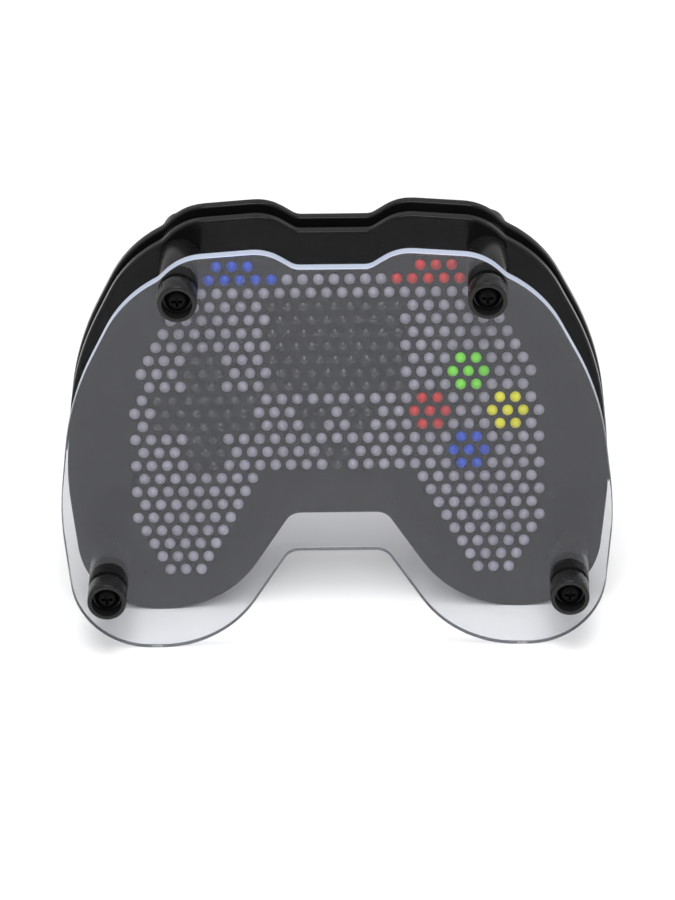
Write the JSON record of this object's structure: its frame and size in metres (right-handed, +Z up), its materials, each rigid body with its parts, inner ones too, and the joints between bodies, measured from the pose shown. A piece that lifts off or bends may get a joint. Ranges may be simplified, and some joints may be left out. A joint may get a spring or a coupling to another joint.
{
  "type": "pin art impression toy",
  "caption": "Standing pin art toy in a game pad outline: clear front cover, two drilled black plates on four posts, and coloured round-headed pins that slide through to hold an impression.",
  "frame": {"origin": "on the floor under the two lobes, midway across, at the pin plate's front face, which is also midway between the cap faces and the pin tails", "axes": "+X to the viewer's right along the width, -Y forwards to the viewer and the direction the pins are pushed, +Z up"},
  "size_m": [0.1762, 0.0712, 0.1402],
  "materials": {
    "clear_acrylic": "clear, polished edges",
    "black_acrylic": "gloss black sheet",
    "black_plastic": "satin to gloss moulded black",
    "black_screw_steel": "black oxide",
    "grey_pin_plastic": "light grey, semi-gloss",
    "black_pin_plastic": "black, gloss",
    "green_pin_plastic": "green, semi-gloss",
    "red_pin_plastic": "red, semi-gloss",
    "yellow_pin_plastic": "yellow, semi-gloss",
    "blue_pin_plastic": "blue, semi-gloss"
  },
  "bodies": {
    "stand": {"cap_lower_left": "black_plastic", "cap_lower_right": "black_plastic", "cap_upper_left": "black_plastic", "cap_upper_right": "black_plastic", "front_cover": "clear_acrylic", "pin_plate": "black_acrylic", "rear_nuts": "black_plastic", "rear_plate": "black_acrylic", "screws": "black_screw_steel", "short_spacers": "black_plastic", "sleeve_lower_left": "black_plastic", "sleeve_lower_right": "black_plastic", "sleeve_upper_left": "black_plastic", "sleeve_upper_right": "black_plastic"},
    "bank_blue_button": {"pins_blue_button": "blue_pin_plastic"},
    "bank_green_button": {"pins_green_button": "green_pin_plastic"},
    "bank_grey_band_01": {"pins_grey_band_01": "grey_pin_plastic"},
    "bank_grey_band_02_left": {"pins_grey_band_02_left": "grey_pin_plastic"},
    "bank_grey_band_02_right": {"pins_grey_band_02_right": "grey_pin_plastic"},
    "bank_grey_band_03_left": {"pins_grey_band_03_left": "grey_pin_plastic"},
    "bank_grey_band_03_right": {"pins_grey_band_03_right": "grey_pin_plastic"},
    "bank_grey_band_04_left": {"pins_grey_band_04_left": "grey_pin_plastic"},
    "bank_grey_band_04_right": {"pins_grey_band_04_right": "grey_pin_plastic"},
    "bank_grey_band_05_left": {"pins_grey_band_05_left": "grey_pin_plastic"},
    "bank_grey_band_05_right": {"pins_grey_band_05_right": "grey_pin_plastic"},
    "bank_grey_band_06_left": {"pins_grey_band_06_left": "grey_pin_plastic"},
    "bank_grey_band_06_right": {"pins_grey_band_06_right": "grey_pin_plastic"},
    "bank_grey_band_07_left": {"pins_grey_band_07_left": "grey_pin_plastic"},
    "bank_grey_band_07_right": {"pins_grey_band_07_right": "grey_pin_plastic"},
    "bank_grey_band_08_left": {"pins_grey_band_08_left": "grey_pin_plastic"},
    "bank_grey_band_08_right": {"pins_grey_band_08_right": "grey_pin_plastic"},
    "bank_grey_band_09_left": {"pins_grey_band_09_left": "grey_pin_plastic"},
    "bank_grey_band_09_right": {"pins_grey_band_09_right": "grey_pin_plastic"},
    "bank_grey_band_10_left": {"pins_grey_band_10_left": "grey_pin_plastic"},
    "bank_grey_band_10_right": {"pins_grey_band_10_right": "grey_pin_plastic"},
    "bank_grey_band_11_left": {"pins_grey_band_11_left": "grey_pin_plastic"},
    "bank_grey_band_11_right": {"pins_grey_band_11_right": "grey_pin_plastic"},
    "bank_grey_band_12_left": {"pins_grey_band_12_left": "grey_pin_plastic"},
    "bank_grey_band_12_right": {"pins_grey_band_12_right": "grey_pin_plastic"},
    "bank_grey_band_13_left": {"pins_grey_band_13_left": "grey_pin_plastic"},
    "bank_grey_band_13_right": {"pins_grey_band_13_right": "grey_pin_plastic"},
    "bank_left_shoulder": {"pins_left_shoulder": "blue_pin_plastic"},
    "bank_pad_centre": {"pins_pad_centre": "black_pin_plastic"},
    "bank_pad_down": {"pins_pad_down": "black_pin_plastic"},
    "bank_pad_left": {"pins_pad_left": "black_pin_plastic"},
    "bank_pad_right": {"pins_pad_right": "black_pin_plastic"},
    "bank_pad_up": {"pins_pad_up": "black_pin_plastic"},
    "bank_red_button": {"pins_red_button": "red_pin_plastic"},
    "bank_right_shoulder": {"pins_right_shoulder": "red_pin_plastic"},
    "bank_screen_row_1": {"pins_screen_row_1": "black_pin_plastic"},
    "bank_screen_row_2": {"pins_screen_row_2": "black_pin_plastic"},
    "bank_screen_row_3": {"pins_screen_row_3": "black_pin_plastic"},
    "bank_screen_row_4": {"pins_screen_row_4": "black_pin_plastic"},
    "bank_screen_row_5": {"pins_screen_row_5": "black_pin_plastic"},
    "bank_screen_row_6": {"pins_screen_row_6": "black_pin_plastic"},
    "bank_screen_row_7": {"pins_screen_row_7": "black_pin_plastic"},
    "bank_triangle_left": {"pins_triangle_left": "black_pin_plastic"},
    "bank_triangle_lower": {"pins_triangle_lower": "black_pin_plastic"},
    "bank_triangle_right": {"pins_triangle_right": "black_pin_plastic"},
    "bank_yellow_button": {"pins_yellow_button": "yellow_pin_plastic"}
  },
  "joints": [
    {"name": "blue_button_slide", "type": "slide", "parent": "stand", "child": "bank_blue_button", "axis": [0, -1, 0], "range_m": [0, 0.0215]},
    {"name": "green_button_slide", "type": "slide", "parent": "stand", "child": "bank_green_button", "axis": [0, -1, 0], "range_m": [0, 0.0215]},
    {"name": "grey_band_01_slide", "type": "slide", "parent": "stand", "child": "bank_grey_band_01", "axis": [0, -1, 0], "range_m": [0, 0.0215]},
    {"name": "grey_band_02_left_slide", "type": "slide", "parent": "stand", "child": "bank_grey_band_02_left", "axis": [0, -1, 0], "range_m": [0, 0.0215]},
    {"name": "grey_band_02_right_slide", "type": "slide", "parent": "stand", "child": "bank_grey_band_02_right", "axis": [0, -1, 0], "range_m": [0, 0.0215]},
    {"name": "grey_band_03_left_slide", "type": "slide", "parent": "stand", "child": "bank_grey_band_03_left", "axis": [0, -1, 0], "range_m": [0, 0.0215]},
    {"name": "grey_band_03_right_slide", "type": "slide", "parent": "stand", "child": "bank_grey_band_03_right", "axis": [0, -1, 0], "range_m": [0, 0.0215]},
    {"name": "grey_band_04_left_slide", "type": "slide", "parent": "stand", "child": "bank_grey_band_04_left", "axis": [0, -1, 0], "range_m": [0, 0.0215]},
    {"name": "grey_band_04_right_slide", "type": "slide", "parent": "stand", "child": "bank_grey_band_04_right", "axis": [0, -1, 0], "range_m": [0, 0.0215]},
    {"name": "grey_band_05_left_slide", "type": "slide", "parent": "stand", "child": "bank_grey_band_05_left", "axis": [0, -1, 0], "range_m": [0, 0.0215]},
    {"name": "grey_band_05_right_slide", "type": "slide", "parent": "stand", "child": "bank_grey_band_05_right", "axis": [0, -1, 0], "range_m": [0, 0.0215]},
    {"name": "grey_band_06_left_slide", "type": "slide", "parent": "stand", "child": "bank_grey_band_06_left", "axis": [0, -1, 0], "range_m": [0, 0.0215]},
    {"name": "grey_band_06_right_slide", "type": "slide", "parent": "stand", "child": "bank_grey_band_06_right", "axis": [0, -1, 0], "range_m": [0, 0.0215]},
    {"name": "grey_band_07_left_slide", "type": "slide", "parent": "stand", "child": "bank_grey_band_07_left", "axis": [0, -1, 0], "range_m": [0, 0.0215]},
    {"name": "grey_band_07_right_slide", "type": "slide", "parent": "stand", "child": "bank_grey_band_07_right", "axis": [0, -1, 0], "range_m": [0, 0.0215]},
    {"name": "grey_band_08_left_slide", "type": "slide", "parent": "stand", "child": "bank_grey_band_08_left", "axis": [0, -1, 0], "range_m": [0, 0.0215]},
    {"name": "grey_band_08_right_slide", "type": "slide", "parent": "stand", "child": "bank_grey_band_08_right", "axis": [0, -1, 0], "range_m": [0, 0.0215]},
    {"name": "grey_band_09_left_slide", "type": "slide", "parent": "stand", "child": "bank_grey_band_09_left", "axis": [0, -1, 0], "range_m": [0, 0.0215]},
    {"name": "grey_band_09_right_slide", "type": "slide", "parent": "stand", "child": "bank_grey_band_09_right", "axis": [0, -1, 0], "range_m": [0, 0.0215]},
    {"name": "grey_band_10_left_slide", "type": "slide", "parent": "stand", "child": "bank_grey_band_10_left", "axis": [0, -1, 0], "range_m": [0, 0.0215]},
    {"name": "grey_band_10_right_slide", "type": "slide", "parent": "stand", "child": "bank_grey_band_10_right", "axis": [0, -1, 0], "range_m": [0, 0.0215]},
    {"name": "grey_band_11_left_slide", "type": "slide", "parent": "stand", "child": "bank_grey_band_11_left", "axis": [0, -1, 0], "range_m": [0, 0.0215]},
    {"name": "grey_band_11_right_slide", "type": "slide", "parent": "stand", "child": "bank_grey_band_11_right", "axis": [0, -1, 0], "range_m": [0, 0.0215]},
    {"name": "grey_band_12_left_slide", "type": "slide", "parent": "stand", "child": "bank_grey_band_12_left", "axis": [0, -1, 0], "range_m": [0, 0.0215]},
    {"name": "grey_band_12_right_slide", "type": "slide", "parent": "stand", "child": "bank_grey_band_12_right", "axis": [0, -1, 0], "range_m": [0, 0.0215]},
    {"name": "grey_band_13_left_slide", "type": "slide", "parent": "stand", "child": "bank_grey_band_13_left", "axis": [0, -1, 0], "range_m": [0, 0.0215]},
    {"name": "grey_band_13_right_slide", "type": "slide", "parent": "stand", "child": "bank_grey_band_13_right", "axis": [0, -1, 0], "range_m": [0, 0.0215]},
    {"name": "left_shoulder_slide", "type": "slide", "parent": "stand", "child": "bank_left_shoulder", "axis": [0, -1, 0], "range_m": [0, 0.0215]},
    {"name": "pad_centre_slide", "type": "slide", "parent": "stand", "child": "bank_pad_centre", "axis": [0, -1, 0], "range_m": [0, 0.0215]},
    {"name": "pad_down_slide", "type": "slide", "parent": "stand", "child": "bank_pad_down", "axis": [0, -1, 0], "range_m": [0, 0.0215]},
    {"name": "pad_left_slide", "type": "slide", "parent": "stand", "child": "bank_pad_left", "axis": [0, -1, 0], "range_m": [0, 0.0215]},
    {"name": "pad_right_slide", "type": "slide", "parent": "stand", "child": "bank_pad_right", "axis": [0, -1, 0], "range_m": [0, 0.0215]},
    {"name": "pad_up_slide", "type": "slide", "parent": "stand", "child": "bank_pad_up", "axis": [0, -1, 0], "range_m": [0, 0.0215]},
    {"name": "red_button_slide", "type": "slide", "parent": "stand", "child": "bank_red_button", "axis": [0, -1, 0], "range_m": [0, 0.0215]},
    {"name": "right_shoulder_slide", "type": "slide", "parent": "stand", "child": "bank_right_shoulder", "axis": [0, -1, 0], "range_m": [0, 0.0215]},
    {"name": "screen_row_1_slide", "type": "slide", "parent": "stand", "child": "bank_screen_row_1", "axis": [0, -1, 0], "range_m": [0, 0.0215]},
    {"name": "screen_row_2_slide", "type": "slide", "parent": "stand", "child": "bank_screen_row_2", "axis": [0, -1, 0], "range_m": [0, 0.0215]},
    {"name": "screen_row_3_slide", "type": "slide", "parent": "stand", "child": "bank_screen_row_3", "axis": [0, -1, 0], "range_m": [0, 0.0215]},
    {"name": "screen_row_4_slide", "type": "slide", "parent": "stand", "child": "bank_screen_row_4", "axis": [0, -1, 0], "range_m": [0, 0.0215]},
    {"name": "screen_row_5_slide", "type": "slide", "parent": "stand", "child": "bank_screen_row_5", "axis": [0, -1, 0], "range_m": [0, 0.0215]},
    {"name": "screen_row_6_slide", "type": "slide", "parent": "stand", "child": "bank_screen_row_6", "axis": [0, -1, 0], "range_m": [0, 0.0215]},
    {"name": "screen_row_7_slide", "type": "slide", "parent": "stand", "child": "bank_screen_row_7", "axis": [0, -1, 0], "range_m": [0, 0.0215]},
    {"name": "triangle_left_slide", "type": "slide", "parent": "stand", "child": "bank_triangle_left", "axis": [0, -1, 0], "range_m": [0, 0.0215]},
    {"name": "triangle_lower_slide", "type": "slide", "parent": "stand", "child": "bank_triangle_lower", "axis": [0, -1, 0], "range_m": [0, 0.0215]},
    {"name": "triangle_right_slide", "type": "slide", "parent": "stand", "child": "bank_triangle_right", "axis": [0, -1, 0], "range_m": [0, 0.0215]},
    {"name": "yellow_button_slide", "type": "slide", "parent": "stand", "child": "bank_yellow_button", "axis": [0, -1, 0], "range_m": [0, 0.0215]}
  ]
}
